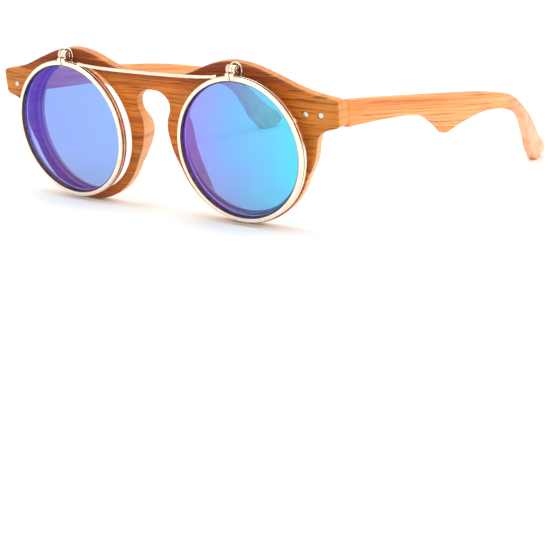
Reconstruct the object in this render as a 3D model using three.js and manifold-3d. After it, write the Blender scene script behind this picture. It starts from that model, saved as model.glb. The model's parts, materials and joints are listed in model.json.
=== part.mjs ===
// Round flip-up sunglasses with an imitation-wood front and temples, in millimetres, +Z up.
//
// The glasses stand on a table with the temples open and the sun lenses lowered. The front looks
// along -Y, the temples run back along +Y, and +X is the wearer's left. The parts are laid out in
// the front's own upright frame: x across, y back from the front face at its centre, and z up from
// the lens centres. The finished group leans forward until the rims and the temple tips both touch
// the table, and its origin is at the bottom centre of the bounding box.

import * as THREE from 'three';
import { mergeVertices } from 'three/addons/utils/BufferGeometryUtils.js';
import Module from 'manifold-3d';

const wasm = await Module();
wasm.setup();

// ---- driving dimensions -------------------------------------------------------------------

const GAP = 0.15;                // clearance between fixed pieces that are set into each other
const RUNNING_GAP = 0.3;         // clearance between pieces that move past each other

const FRONT_THICKNESS = 4.0;
const FRONT_BEND_RADIUS = 690;   // the front wraps gently round the face
const FRONT_HALF_WIDTH = 68.5;
const EYE_S = 32.6;              // lens centre from the middle, measured along the front
const OPENING_RADIUS = 21.9;
const RIM_RADIUS = 25.2;
const BRIDGE_TOP = 20.85;
const KEYHOLE_TOP = 15.7;

const CLEAR_LENS_THICKNESS = 1.4;
const CLEAR_LENS_Y = 1.3;        // front of the lens behind the face
const GROOVE_DEPTH = 0.9;        // how far a lens groove is cut into its rim

const ENDPIECE_TOP = 16.9;
const ENDPIECE_BOTTOM = 8.5;
const SEAM_Y = 9.2;              // where the endpiece ends and the temple begins
const RIVET_S = { inner: 57.5, outer: 62.7 };   // measured along the front
const RIVET_Z = 12.2;
const RIVET_RADIUS = 0.5;
const RIVET_HEAD_RADIUS = 0.85;

const HINGE_X = 62.2;            // temple hinge axis, parallel to z
const HINGE_Y = 9.3;
const BARREL_RADIUS = 1.5;
const BARREL_HEIGHT = 1.9;
const HINGE_SCREW_RADIUS = 0.55;
const HINGE_SCREW_HEAD_RADIUS = 1.1;
const LEAF_THICKNESS = 0.9;
const LEAF_SINK = 0.5;           // the leaves are let into the plastic by this much

const TEMPLE_THICKNESS = 3.6;
const TEMPLE_OUTER_X = 68.4;     // outer face at the hinge
const TEMPLE_SPLAY = THREE.MathUtils.degToRad(1.4);  // the temples close in towards the tips
const BOW_FROM = 25;             // the temples bow outwards between these two y
const BOW_TO = 165;
const TEMPLE_BOW = [0, 2.5, 5, 5.4, 2.3, -0.8];  // how far out, at even steps between them

const FLIP_X = 34.4;             // middle of a flip hinge
const FLIP_Y = -1.3;             // flip hinge axis, parallel to x
const FLIP_Z = 25.3;
const FLIP_PIN_RADIUS = 0.45;
const KNUCKLE_RADIUS = 1.35;
const KNUCKLE_HALF = 0.6;        // the bracket's one knuckle sits between the rim's two ears
const EAR_INNER = 0.75;
const EAR_OUTER = 1.6;           // outer side of an ear from the middle of the hinge
const FLANGE_RADIUS = 2.4;       // round flange of the bracket on the brow
const FLANGE_Z = 24.8;

const SUN_X = 35.0;              // centre of a sun lens
const SUN_WRAP = THREE.MathUtils.degToRad(1.4);      // the rims follow the bend of the front
const SUN_RIM_INNER = 21.6;
const SUN_RIM_OUTER = 23.4;
const SUN_RIM_FRONT = -3.1;
const SUN_RIM_BACK = -0.5;
const SUN_LENS_THICKNESS = 1.0;
const LUG_FRONT = -3.3;          // the rim's two ends are thickened into lugs below the ears
const LUG_BOTTOM = 22.4;
const LUG_TOP = 24.3;
const RIM_SPLIT = 0.3;
const WIRE_RADIUS = 0.55;

const CIRCLE_STEPS = 60;         // facets round a lens or a rim
const SMALL_STEPS = 14;          // facets round pins, barrels and screws

// ---- materials ----------------------------------------------------------------------------

const WOOD_FRONT = { color: 0xb06428, roughness: 0.45, metalness: 0 };
const WOOD_TEMPLE = { color: 0xf0a56e, roughness: 0.5, metalness: 0 };
const CLEAR = { color: 0xf4f8f8, roughness: 0.05, metalness: 0, transparent: true, opacity: 0.25 };
const SUN_TINT = { color: 0x5a6fe0, roughness: 0.05, metalness: 0.4, transparent: true, opacity: 0.8 };
const GOLD = { color: 0xe8d3a8, roughness: 0.2, metalness: 1 };
const STEEL = { color: 0xc9cbcc, roughness: 0.3, metalness: 1 };

// ---- general helpers ----------------------------------------------------------------------

function vectors(points) {
  return points.map(([a, b]) => new THREE.Vector2(a, b));
}

// A smooth curve through the points, as evenly spaced steps.
function curve(points, steps) {
  return new THREE.SplineCurve(vectors(points)).getPoints(steps);
}

function arc(x, z, radius, from, to, steps) {
  return new THREE.EllipseCurve(x, z, radius, radius, from, to, to < from).getPoints(steps);
}

// A three.js geometry as a manifold solid, without its zero-area triangles.
function solid(geometry) {
  const bare = geometry.clone();
  bare.deleteAttribute('normal');
  bare.deleteAttribute('uv');
  const merged = mergeVertices(bare, 1e-4);
  const index = merged.index.array;
  const triangles = [];
  for (let i = 0; i < index.length; i += 3) {
    const [a, b, c] = [index[i], index[i + 1], index[i + 2]];
    if (a !== b && b !== c && c !== a) triangles.push(a, b, c);
  }
  return new wasm.Manifold(new wasm.Mesh({
    numProp: 3,
    vertProperties: new Float32Array(merged.attributes.position.array),
    triVerts: new Uint32Array(triangles),
  }));
}

function joined(first, ...others) {
  return others.reduce((sum, geometry) => sum.add(solid(geometry)), solid(first));
}

function cut(body, ...cutters) {
  return cutters.reduce((rest, geometry) => rest.subtract(solid(geometry)), body);
}

function geometryOf(manifold) {
  const mesh = manifold.getMesh();
  const geometry = new THREE.BufferGeometry();
  geometry.setAttribute('position', new THREE.BufferAttribute(mesh.vertProperties, 3));
  geometry.setIndex(new THREE.BufferAttribute(mesh.triVerts, 1));
  return geometry;
}

// The same body for the other side of the face.
function mirrorX(geometry) {
  const copy = geometry.clone().scale(-1, 1, 1);
  const index = copy.index.array;
  for (let i = 0; i < index.length; i += 3) {
    [index[i], index[i + 1]] = [index[i + 1], index[i]];
  }
  return copy;
}

function box(low, high) {
  const size = high.map((value, i) => value - low[i]);
  const middle = high.map((value, i) => (value + low[i]) / 2);
  return new THREE.BoxGeometry(...size).translate(...middle);
}

// A cylinder along one axis between two coordinates; a and b are its other two coordinates.
function rod(axis, radius, from, to, a, b) {
  const cylinder = new THREE.CylinderGeometry(radius, radius, to - from, SMALL_STEPS);
  const middle = (from + to) / 2;
  if (axis === 'x') return cylinder.rotateZ(Math.PI / 2).translate(middle, a, b);
  return cylinder.rotateX(Math.PI / 2).translate(a, b, middle);
}

// A ring or disc turned about the Y axis, from a profile of [radius, y] points, front to back.
function turned(profile, x, z, steps) {
  return new THREE.LatheGeometry(vectors(profile), steps).translate(x, 0, z);
}

// An outline in (x, y) given height from one z to another.
function upright(points, from, to) {
  const shape = new THREE.Shape(vectors(points));
  return new THREE.ExtrudeGeometry(shape, { depth: to - from, bevelEnabled: false })
    .translate(0, 0, from);
}

// An outline in (y, z) given thickness from one x to another, with chamfered edges.
function sideways(points, from, to, chamfer = 0) {
  const geometry = new THREE.ExtrudeGeometry(new THREE.Shape(points), {
    depth: to - from - 2 * chamfer,
    bevelEnabled: chamfer > 0,
    bevelThickness: chamfer,
    bevelSize: chamfer,
    bevelOffset: -chamfer,
    bevelSegments: 1,
  });
  return geometry.rotateX(Math.PI / 2).rotateZ(Math.PI / 2).translate(from + chamfer, 0, 0);
}

// A body through closed rings of the same number of [x, y, z] points, closed at both ends.
function loft(rings) {
  const count = rings[0].length;
  const index = [];
  for (let i = 1; i < rings.length; i += 1) {
    for (let j = 0; j < count; j += 1) {
      const a = (i - 1) * count + j;
      const b = (i - 1) * count + (j + 1) % count;
      index.push(a, b, b + count, a, b + count, a + count);
    }
  }
  const last = (rings.length - 1) * count;
  for (let j = 2; j < count; j += 1) {
    index.push(0, j, j - 1, last, last + j - 1, last + j);
  }
  const geometry = new THREE.BufferGeometry();
  geometry.setAttribute('position', new THREE.Float32BufferAttribute(rings.flat(2), 3));
  geometry.setIndex(index);
  return geometry;
}

// ---- the bend of the front ----------------------------------------------------------------

// Where a point of the flat front goes when it is bent: s along the front, y behind its face.
function bent(s, y = 0) {
  const angle = s / FRONT_BEND_RADIUS;
  const radius = FRONT_BEND_RADIUS - y;
  return { x: radius * Math.sin(angle), y: FRONT_BEND_RADIUS - radius * Math.cos(angle), angle };
}

// Puts a piece that was made at the middle of the front at s along it, square to its face.
function onFront(geometry, s) {
  const to = bent(s);
  return geometry.rotateZ(to.angle).translate(to.x, to.y, 0);
}

// ---- front --------------------------------------------------------------------------------

// Half of the front's outer edge as [x, z] points.
const BROW_EDGE = [[10.5, BRIDGE_TOP], [16.3, 22.5], [24.2, 25.6], [32, 26.95], [40, 25.8],
  [48, 23.0], [56, 19.8], [62.5, 18.0], [67.8, ENDPIECE_TOP + 0.2]];
const ENDPIECE_END = [[FRONT_HALF_WIDTH, ENDPIECE_TOP - 0.6],
  [FRONT_HALF_WIDTH, ENDPIECE_BOTTOM + 0.6], [FRONT_HALF_WIDTH - 0.8, ENDPIECE_BOTTOM - 0.2]];
const ENDPIECE_UNDERSIDE = [[66, 7.9], [63.2, 7.0], [61.3, 5.2], [60.5, 2.5], [59.9, -0.9],
  [58.6, -4.4]];
const KEYHOLE_EDGE = [[6.8, -4.6], [5.7, -0.6], [5.1, 3.2], [5.7, 6.8], [6.8, 9.6], [6.5, 12.6],
  [3.6, 15.1]];
const RIM_FROM = THREE.MathUtils.degToRad(-21);   // the round rim leaves the endpiece here
const RIM_TO = THREE.MathUtils.degToRad(-158);    // and meets the nose gap here

function rimPoint(angle) {
  return [EYE_S + RIM_RADIUS * Math.cos(angle), RIM_RADIUS * Math.sin(angle)];
}

function frontOutline() {
  const half = [
    ...curve(BROW_EDGE, 26),
    ...vectors(ENDPIECE_END),
    ...curve([...ENDPIECE_UNDERSIDE, rimPoint(RIM_FROM)], 12),
    ...arc(EYE_S, 0, RIM_RADIUS, RIM_FROM, RIM_TO, 24).slice(1),
    ...curve([rimPoint(RIM_TO), ...KEYHOLE_EDGE, [0, KEYHOLE_TOP]], 20).slice(1),
  ];
  const other = half.slice(0, -1).map((point) => new THREE.Vector2(-point.x, point.y));
  return [...half, ...other.reverse()];
}

// The outline pushed through the full depth of the front, nose pads and endpieces.
function frontPrism() {
  const depth = 20;
  return new THREE.ExtrudeGeometry(new THREE.Shape(frontOutline()), { depth, bevelEnabled: false })
    .rotateX(Math.PI / 2)
    .translate(0, depth - 5, 0);
}

function bentSlab() {
  const strips = 28;
  const reach = FRONT_HALF_WIDTH + 3;
  const face = [];
  const back = [];
  for (let i = 0; i <= strips; i += 1) {
    const s = reach * (2 * i / strips - 1);
    const front = bent(s);
    const rear = bent(s, FRONT_THICKNESS);
    face.push([front.x, front.y]);
    back.unshift([rear.x, rear.y]);
  }
  return upright([...face, ...back], -40, 40);
}

// The endpiece is thicker than the front; this is its extra depth, tapering to the hinge side.
function endpieceBlock() {
  const outer = FRONT_HALF_WIDTH + 3;
  return upright([[63.4, 5.5], [outer, 5.5], [outer, SEAM_Y], [64.5, SEAM_Y], [64.1, 7.4]], 0, 30);
}

// Level sections of the left nose pad: height, nose side and lens side x, and how far back.
const PAD_SECTIONS = [
  [-18.5, 17.6, 19.4, 4.2],
  [-16, 14.7, 17.5, 6.0],
  [-12.5, 12.4, 15.0, 7.4],
  [-8, 9.6, 12.8, 8.1],
  [-3.5, 7.0, 11.4, 8.2],
  [1, 5.5, 10.7, 8.1],
  [5, 5.6, 10.9, 7.0],
  [8.5, 6.9, 11.2, 4.6],
];

function nosePad() {
  const rings = PAD_SECTIONS.map(([z, nose, lens, depth]) => {
    const middle = (nose + lens) / 2;
    const inset = (lens - nose) / 6;
    return [
      [nose, 2, z],
      [lens, 2, z],
      [lens, depth - 1, z],
      [lens - inset, depth - 0.3, z],
      [middle, depth, z],
      [nose + inset, depth - 0.4, z],
      [nose + 0.1, depth - 1.6, z],
    ];
  });
  return loft(rings);
}

// The eye opening with the groove that holds the clear lens, as a cutter.
function openingCutter() {
  const groove = OPENING_RADIUS + GROOVE_DEPTH;
  const lensFront = CLEAR_LENS_Y - GAP;
  const lensBack = CLEAR_LENS_Y + CLEAR_LENS_THICKNESS + GAP;
  return turned([[0, -5], [OPENING_RADIUS, -5], [OPENING_RADIUS, lensFront], [groove, lensFront],
    [groove, lensBack], [OPENING_RADIUS, lensBack], [OPENING_RADIUS, 15], [0, 15]], 0, 0, CIRCLE_STEPS);
}

function rivetHole() {
  const shaft = RIVET_RADIUS + GAP;
  const head = RIVET_HEAD_RADIUS + GAP;
  return turned([[0, -1], [head, -1], [head, 0.45], [shaft, 0.45], [shaft, 8], [0, 8]],
    0, RIVET_Z, SMALL_STEPS);
}

const FRONT_LEAF_S = 59.2;       // middle of the front hinge leaf, along the front
const FRONT_LEAF_HALF = 4.4;
const FRONT_LEAF_HALF_HEIGHT = 1.5 * BARREL_HEIGHT + RUNNING_GAP;
const FRONT_LEAF_Y = FRONT_THICKNESS - LEAF_SINK;

function leafPocket() {
  const half = FRONT_LEAF_HALF + GAP;
  const halfHeight = FRONT_LEAF_HALF_HEIGHT + GAP;
  return box([-half, FRONT_LEAF_Y - GAP, RIVET_Z - halfHeight],
    [half, FRONT_THICKNESS + 2, RIVET_Z + halfHeight]);
}

function bracketScrewHole() {
  return turned([[0, -0.62], [0.5, -0.62], [0.5, 3.5], [1, 3.5], [1, 6], [0, 6]],
    0, FLANGE_Z, SMALL_STEPS);
}

function frontGeometry() {
  const plate = solid(frontPrism()).intersect(solid(bentSlab()));
  const blocks = solid(frontPrism()).intersect(solid(endpieceBlock()));
  const half = blocks.add(solid(nosePad()));
  const body = plate.add(half).add(half.mirror([1, 0, 0]));
  const cutters = [];
  for (const side of [-1, 1]) {
    cutters.push(onFront(openingCutter(), side * EYE_S));
    cutters.push(onFront(rivetHole(), side * RIVET_S.inner));
    cutters.push(onFront(rivetHole(), side * RIVET_S.outer));
    cutters.push(onFront(leafPocket(), side * FRONT_LEAF_S));
    cutters.push(onFront(bracketScrewHole(), side * FLIP_X));
  }
  return geometryOf(cut(body, ...cutters));
}

function clearLensGeometry() {
  const radius = OPENING_RADIUS + GROOVE_DEPTH - GAP;
  const back = CLEAR_LENS_Y + CLEAR_LENS_THICKNESS;
  const disc = turned([[0, CLEAR_LENS_Y], [radius, CLEAR_LENS_Y], [radius, back], [0, back]],
    0, 0, CIRCLE_STEPS);
  return geometryOf(solid(onFront(disc, EYE_S)));
}

// ---- temple hinges ------------------------------------------------------------------------

// The barrels are numbered 0 to 2 from the bottom; the middle one belongs to the temple.
function barrelSpan(number) {
  const middle = RIVET_Z + (number - 1) * (BARREL_HEIGHT + RUNNING_GAP);
  return [middle - BARREL_HEIGHT / 2, middle + BARREL_HEIGHT / 2];
}

function hingeBore() {
  const reach = 2 * BARREL_HEIGHT + 1;
  return rod('z', HINGE_SCREW_RADIUS + GAP, RIVET_Z - reach, RIVET_Z + reach, HINGE_X, HINGE_Y);
}

function frontLeafGeometry() {
  const flat = box([-FRONT_LEAF_HALF, FRONT_LEAF_Y, RIVET_Z - FRONT_LEAF_HALF_HEIGHT],
    [FRONT_LEAF_HALF, FRONT_LEAF_Y + LEAF_THICKNESS, RIVET_Z + FRONT_LEAF_HALF_HEIGHT]);
  const parts = [onFront(flat, FRONT_LEAF_S)];
  for (const number of [0, 2]) {
    const [bottom, top] = barrelSpan(number);
    parts.push(rod('z', BARREL_RADIUS, bottom, top, HINGE_X, HINGE_Y));
    parts.push(box([HINGE_X - 1.2, 6.8, bottom], [HINGE_X + 1, HINGE_Y, top]));
  }
  const holes = [onFront(rivetHole(), RIVET_S.inner), onFront(rivetHole(), RIVET_S.outer)];
  return geometryOf(cut(joined(...parts), hingeBore(), ...holes));
}

const TEMPLE_INNER_X = TEMPLE_OUTER_X - TEMPLE_THICKNESS;
const TEMPLE_LEAF_X = TEMPLE_INNER_X + LEAF_SINK - LEAF_THICKNESS;
const TEMPLE_LEAF_OUTLINE = [[HINGE_Y + 1.9, 9.4], [HINGE_Y + 1.9, 14.2], [HINGE_Y + 11, 12.4],
  [HINGE_Y + 11, 8.2]];

// Turns a temple piece in towards the tips, about the hinge axis.
function splayed(geometry) {
  return geometry.translate(-HINGE_X, -HINGE_Y, 0)
    .rotateZ(TEMPLE_SPLAY)
    .translate(HINGE_X, HINGE_Y, 0);
}

function templeLeafGeometry() {
  const [bottom, top] = barrelSpan(1);
  const plate = sideways(vectors(TEMPLE_LEAF_OUTLINE), TEMPLE_LEAF_X, TEMPLE_LEAF_X + LEAF_THICKNESS);
  const tab = box([HINGE_X, HINGE_Y + 0.2, bottom], [TEMPLE_LEAF_X + 0.4, HINGE_Y + 2.8, top]);
  const barrel = rod('z', BARREL_RADIUS, bottom, top, HINGE_X, HINGE_Y);
  return geometryOf(cut(joined(splayed(plate), splayed(tab), barrel), hingeBore()));
}

function hingeScrewGeometry() {
  const bottom = barrelSpan(0)[0] - 0.1;
  const top = barrelSpan(2)[1] + GAP;
  const shaft = rod('z', HINGE_SCREW_RADIUS, bottom, top + 0.2, HINGE_X, HINGE_Y);
  const head = rod('z', HINGE_SCREW_HEAD_RADIUS, top, top + 0.5, HINGE_X, HINGE_Y);
  const slot = box([HINGE_X - 0.15, HINGE_Y - 2, top + 0.3], [HINGE_X + 0.15, HINGE_Y + 2, top + 1]);
  return geometryOf(cut(joined(shaft, head), slot));
}

function rivetGeometry(s) {
  const back = FRONT_LEAF_Y + LEAF_THICKNESS + GAP;
  const profile = [[0, -0.2], [0.5, -0.15], [RIVET_HEAD_RADIUS, 0.05], [RIVET_HEAD_RADIUS, 0.3],
    [RIVET_RADIUS, 0.3], [RIVET_RADIUS, back], [0, back]];
  return geometryOf(solid(onFront(turned(profile, 0, RIVET_Z, SMALL_STEPS), s)));
}

// ---- temples ------------------------------------------------------------------------------

// Temple edge as [y, z] points: the top from the hinge to the tip, then back along the bottom to
// the pointed step where the temple narrows, then on to the hinge.
const TEMPLE_TOP = [[SEAM_Y + RUNNING_GAP, 15.8], [28.9, 11.6], [58, 5.3], [84.8, -0.6],
  [101.5, -4.9], [115.5, -9.4], [124.5, -13.9], [137.5, -22.2], [149.5, -33.5], [155.5, -38.1]];
const TEMPLE_TIP = [[155.5, -38.1], [158, -41.4], [156.7, -43.3], [151.7, -44.2], [147, -43.8],
  [144.5, -41.5]];
const TEMPLE_REAR_UNDERSIDE = [[144.5, -41.5], [140.8, -37.7], [136.2, -29.5], [128.8, -20.8],
  [112.5, -13.9], [94, -9.6], [77.5, -9], [66, -10]];
const TEMPLE_FRONT_UNDERSIDE = [[66, -10], [61.3, -5.7], [54.5, -1.2], [47.5, 1], [38, 2.9],
  [SEAM_Y + RUNNING_GAP, 7.4]];

// The temples are flat for their first stretch, then bow outwards and back in towards the tips.
function bowed(geometry) {
  const bows = new THREE.SplineCurve(vectors(TEMPLE_BOW.map((bow, i) => [i, bow])));
  const position = geometry.attributes.position;
  for (let i = 0; i < position.count; i += 1) {
    const share = THREE.MathUtils.clamp((position.getY(i) - BOW_FROM) / (BOW_TO - BOW_FROM), 0, 1);
    position.setX(i, position.getX(i) + bows.getPoint(share).y);
  }
  return geometry;
}

function templeOutline() {
  return [
    ...curve(TEMPLE_TOP, 22),
    ...curve(TEMPLE_TIP, 12).slice(1),
    ...curve(TEMPLE_REAR_UNDERSIDE, 18).slice(1),
    ...curve(TEMPLE_FRONT_UNDERSIDE, 14).slice(1),
  ];
}

function templeGeometry() {
  const slab = sideways(templeOutline().reverse(), TEMPLE_INNER_X, TEMPLE_OUTER_X, 0.5);
  const pocket = TEMPLE_LEAF_OUTLINE.map(([y, z], i) => [
    y + (i < 2 ? -GAP : GAP),
    z + (i === 1 || i === 2 ? GAP : -GAP),
  ]);
  const cutter = sideways(vectors(pocket), TEMPLE_INNER_X - 2, TEMPLE_INNER_X + LEAF_SINK + GAP);
  return geometryOf(cut(solid(splayed(bowed(slab))), splayed(cutter)));
}

// ---- flip hinges --------------------------------------------------------------------------

function pinHole() {
  return rod('x', FLIP_PIN_RADIUS + GAP, FLIP_X - 5, FLIP_X + 5, FLIP_Y, FLIP_Z);
}

// A round flange on the brow with a shank that ends in the middle knuckle.
function bracketGeometry() {
  const flange = turned([[0, -0.6], [FLANGE_RADIUS, -0.6], [FLANGE_RADIUS, -GAP], [0, -GAP]],
    0, FLANGE_Z, 24);
  const shank = box([FLIP_X - KNUCKLE_HALF, FLIP_Y, FLIP_Z - 0.9],
    [FLIP_X + KNUCKLE_HALF, bent(FLIP_X).y - 0.4, FLIP_Z + 0.9]);
  const knuckle = rod('x', KNUCKLE_RADIUS, FLIP_X - KNUCKLE_HALF, FLIP_X + KNUCKLE_HALF, FLIP_Y, FLIP_Z);
  const body = joined(onFront(flange, FLIP_X), shank, knuckle);
  return geometryOf(cut(body, pinHole(), onFront(bracketScrewHole(), FLIP_X)));
}

function bracketScrewGeometry() {
  const profile = [[0, -0.5], [0.35, -0.5], [0.35, 3.65], [0.85, 3.65], [0.85, 4.1], [0, 4.25]];
  return geometryOf(solid(onFront(turned(profile, 0, FLANGE_Z, SMALL_STEPS), FLIP_X)));
}

function flipPinGeometry() {
  const head = FLIP_X + EAR_OUTER + GAP;
  const shaft = rod('x', FLIP_PIN_RADIUS, FLIP_X - EAR_OUTER - 0.1, head + 0.1, FLIP_Y, FLIP_Z);
  const button = rod('x', 0.75, head, head + 0.25, FLIP_Y, FLIP_Z);
  return geometryOf(joined(shaft, button));
}

// ---- sun lenses and their rims ------------------------------------------------------------

const CLOSING_SCREW = { y: -2.2, z: 23.4, radius: 0.3 };

// The closing screw is headless. It goes in from the nose side and ends in the far lug.
function closingScrewHole() {
  const { y, z, radius } = CLOSING_SCREW;
  return rod('x', radius + GAP, FLIP_X - 6, FLIP_X + EAR_OUTER - 0.1, y, z);
}

function closingScrewGeometry() {
  const { y, z, radius } = CLOSING_SCREW;
  return geometryOf(solid(rod('x', radius, FLIP_X - EAR_OUTER, FLIP_X + EAR_OUTER - 0.3, y, z)));
}

// Turns a rim or lens a little about its own upright axis, so that its outer side is further back.
function wrapped(geometry) {
  return geometry.translate(-SUN_X, 0, 0).rotateZ(SUN_WRAP).translate(SUN_X, 0, 0);
}

// Outline of an ear and its lug in (y, z).
function earOutline() {
  const round = arc(FLIP_Y, FLIP_Z, KNUCKLE_RADIUS, THREE.MathUtils.degToRad(-40),
    THREE.MathUtils.degToRad(220), 16);
  return [...round, ...vectors([[LUG_FRONT, LUG_TOP], [LUG_FRONT, LUG_BOTTOM], [-0.7, 22.7],
    [-0.7, LUG_TOP - 0.4]])];
}

// The rim is a turned ring with a lens groove inside and a narrow groove round the outside. It is
// split at the top, where each end has a lug with an ear for the hinge pin.
function sunRimGeometry() {
  const middle = (SUN_RIM_FRONT + SUN_RIM_BACK) / 2;
  const seat = SUN_LENS_THICKNESS / 2 + GAP;
  const grooved = SUN_RIM_INNER + GROOVE_DEPTH;
  const ring = turned([[SUN_RIM_INNER, SUN_RIM_FRONT], [SUN_RIM_OUTER - 0.25, SUN_RIM_FRONT],
    [SUN_RIM_OUTER, SUN_RIM_FRONT + 0.25], [SUN_RIM_OUTER, middle - 0.15],
    [SUN_RIM_OUTER - 0.3, middle], [SUN_RIM_OUTER, middle + 0.15], [SUN_RIM_OUTER, SUN_RIM_BACK],
    [SUN_RIM_INNER, SUN_RIM_BACK], [SUN_RIM_INNER, middle + seat], [grooved, middle + seat],
    [grooved, middle - seat], [SUN_RIM_INNER, middle - seat], [SUN_RIM_INNER, SUN_RIM_FRONT]],
    SUN_X, 0, CIRCLE_STEPS);
  const ears = sideways(earOutline(), FLIP_X - EAR_OUTER, FLIP_X + EAR_OUTER);
  const slot = box([FLIP_X - EAR_INNER, FLIP_Y - 1.5, LUG_TOP - 0.6], [FLIP_X + EAR_INNER, 3, 30]);
  const split = box([FLIP_X - RIM_SPLIT / 2, -5, 15], [FLIP_X + RIM_SPLIT / 2, 5, 30]);
  return geometryOf(cut(joined(wrapped(ring), ears), slot, split, pinHole(), closingScrewHole()));
}

function sunLensGeometry() {
  const middle = (SUN_RIM_FRONT + SUN_RIM_BACK) / 2;
  const radius = SUN_RIM_INNER + GROOVE_DEPTH - GAP;
  const front = middle - SUN_LENS_THICKNESS / 2;
  const back = middle + SUN_LENS_THICKNESS / 2;
  return geometryOf(solid(wrapped(turned([[0, front], [radius, front], [radius, back], [0, back]],
    SUN_X, 0, CIRCLE_STEPS))));
}

// The wire that ties the two rims together across the bridge, lying on top of both of them.
function wireGeometry() {
  const sides = 10;
  const ends = [[-26, 22.35], [-18, 21.9], [0, 21.65], [18, 21.9], [26, 22.35]];
  const rings = curve(ends, 16).map(({ x, y: z }) => {
    const ring = [];
    for (let i = 0; i < sides; i += 1) {
      const angle = 2 * Math.PI * i / sides;
      ring.push([x, -1.9 + WIRE_RADIUS * Math.cos(angle), z + WIRE_RADIUS * Math.sin(angle)]);
    }
    return ring;
  });
  return geometryOf(solid(loft(rings)));
}

// ---- assembly -----------------------------------------------------------------------------

const group = new THREE.Group();
group.name = 'flip_up_sunglasses';

function add(name, geometry, material) {
  const mesh = new THREE.Mesh(geometry, new THREE.MeshStandardMaterial(material));
  mesh.name = name;
  group.add(mesh);
}

// Adds a piece made on the wearer's left (+X) and its mirror image on the right.
function addPair(stem, geometry, material, ending = '') {
  add(`${stem}_left${ending}`, geometry, material);
  add(`${stem}_right${ending}`, mirrorX(geometry), material);
}

add('frame_front', frontGeometry(), WOOD_FRONT);
addPair('clear_lens', clearLensGeometry(), CLEAR);
addPair('front_hinge_leaf', frontLeafGeometry(), STEEL);
for (const [place, s] of Object.entries(RIVET_S)) {
  addPair('endpiece_rivet', rivetGeometry(s), STEEL, `_${place}`);
}
addPair('hinge_screw', hingeScrewGeometry(), STEEL);
addPair('temple_hinge_leaf', templeLeafGeometry(), STEEL);
addPair('temple', templeGeometry(), WOOD_TEMPLE);
addPair('flip_bracket', bracketGeometry(), GOLD);
addPair('flip_bracket_screw', bracketScrewGeometry(), STEEL);
addPair('flip_pin', flipPinGeometry(), STEEL);
addPair('flip_rim', sunRimGeometry(), GOLD);
addPair('sun_lens', sunLensGeometry(), SUN_TINT);
addPair('rim_closing_screw', closingScrewGeometry(), STEEL);
add('flip_bridge_wire', wireGeometry(), GOLD);

// The lowest point of a piece when the glasses lean forward by the given angle.
function lowestPoint(name, lean) {
  const position = group.getObjectByName(name).geometry.attributes.position;
  let lowest = null;
  for (let i = 0; i < position.count; i += 1) {
    const y = position.getY(i);
    const z = position.getZ(i);
    const height = y * Math.sin(lean) + z * Math.cos(lean);
    if (lowest === null || height < lowest.height) lowest = { y, z, height };
  }
  return lowest;
}

// The angle at which the rims and the temple tips are at the same height.
function standingLean() {
  let lean = 0;
  for (let i = 0; i < 4; i += 1) {
    const rim = lowestPoint('frame_front', lean);
    const tip = lowestPoint('temple_left', lean);
    lean = Math.atan2(rim.z - tip.z, tip.y - rim.y);
  }
  return lean;
}

const lean = standingLean();
for (const mesh of group.children) {
  mesh.geometry.rotateX(lean);
}
const bounds = new THREE.Box3().setFromObject(group);
const centre = bounds.getCenter(new THREE.Vector3());
for (const mesh of group.children) {
  mesh.geometry.translate(-centre.x, -centre.y, -bounds.min.z);
}

export default group;
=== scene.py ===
# Looks of the flip-up sunglasses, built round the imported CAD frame.
#
# Every piece is made in the front's own upright frame, in millimetres: x across, y back from the
# front face at its centre, z up from the lens centres. TO_WORLD then leans it as the CAD model
# stands and scales it to metres.
import json
import math

import bmesh
import bpy
from mathutils import Matrix, Vector
from mathutils.geometry import tessellate_polygon

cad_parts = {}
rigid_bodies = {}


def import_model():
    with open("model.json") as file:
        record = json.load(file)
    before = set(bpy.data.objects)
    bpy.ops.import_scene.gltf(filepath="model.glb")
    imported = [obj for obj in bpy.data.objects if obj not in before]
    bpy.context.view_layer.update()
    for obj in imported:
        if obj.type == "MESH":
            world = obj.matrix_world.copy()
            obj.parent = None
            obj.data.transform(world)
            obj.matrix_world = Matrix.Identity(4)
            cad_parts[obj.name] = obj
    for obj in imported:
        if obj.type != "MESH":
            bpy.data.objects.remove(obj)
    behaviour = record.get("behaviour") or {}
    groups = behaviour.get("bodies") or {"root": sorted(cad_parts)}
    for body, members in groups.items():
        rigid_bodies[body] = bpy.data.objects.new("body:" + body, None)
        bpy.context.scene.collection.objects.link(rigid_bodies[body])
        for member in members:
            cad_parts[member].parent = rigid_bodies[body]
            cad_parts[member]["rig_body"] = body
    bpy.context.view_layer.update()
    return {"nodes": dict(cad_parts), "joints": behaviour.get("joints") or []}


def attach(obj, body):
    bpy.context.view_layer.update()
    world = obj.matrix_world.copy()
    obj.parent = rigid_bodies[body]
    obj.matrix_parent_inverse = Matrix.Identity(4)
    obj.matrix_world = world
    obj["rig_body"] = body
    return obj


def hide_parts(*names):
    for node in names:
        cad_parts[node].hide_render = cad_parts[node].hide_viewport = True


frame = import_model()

MM = 0.001

# ---- dimensions shared with the CAD model, in millimetres -------------------------------------

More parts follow.
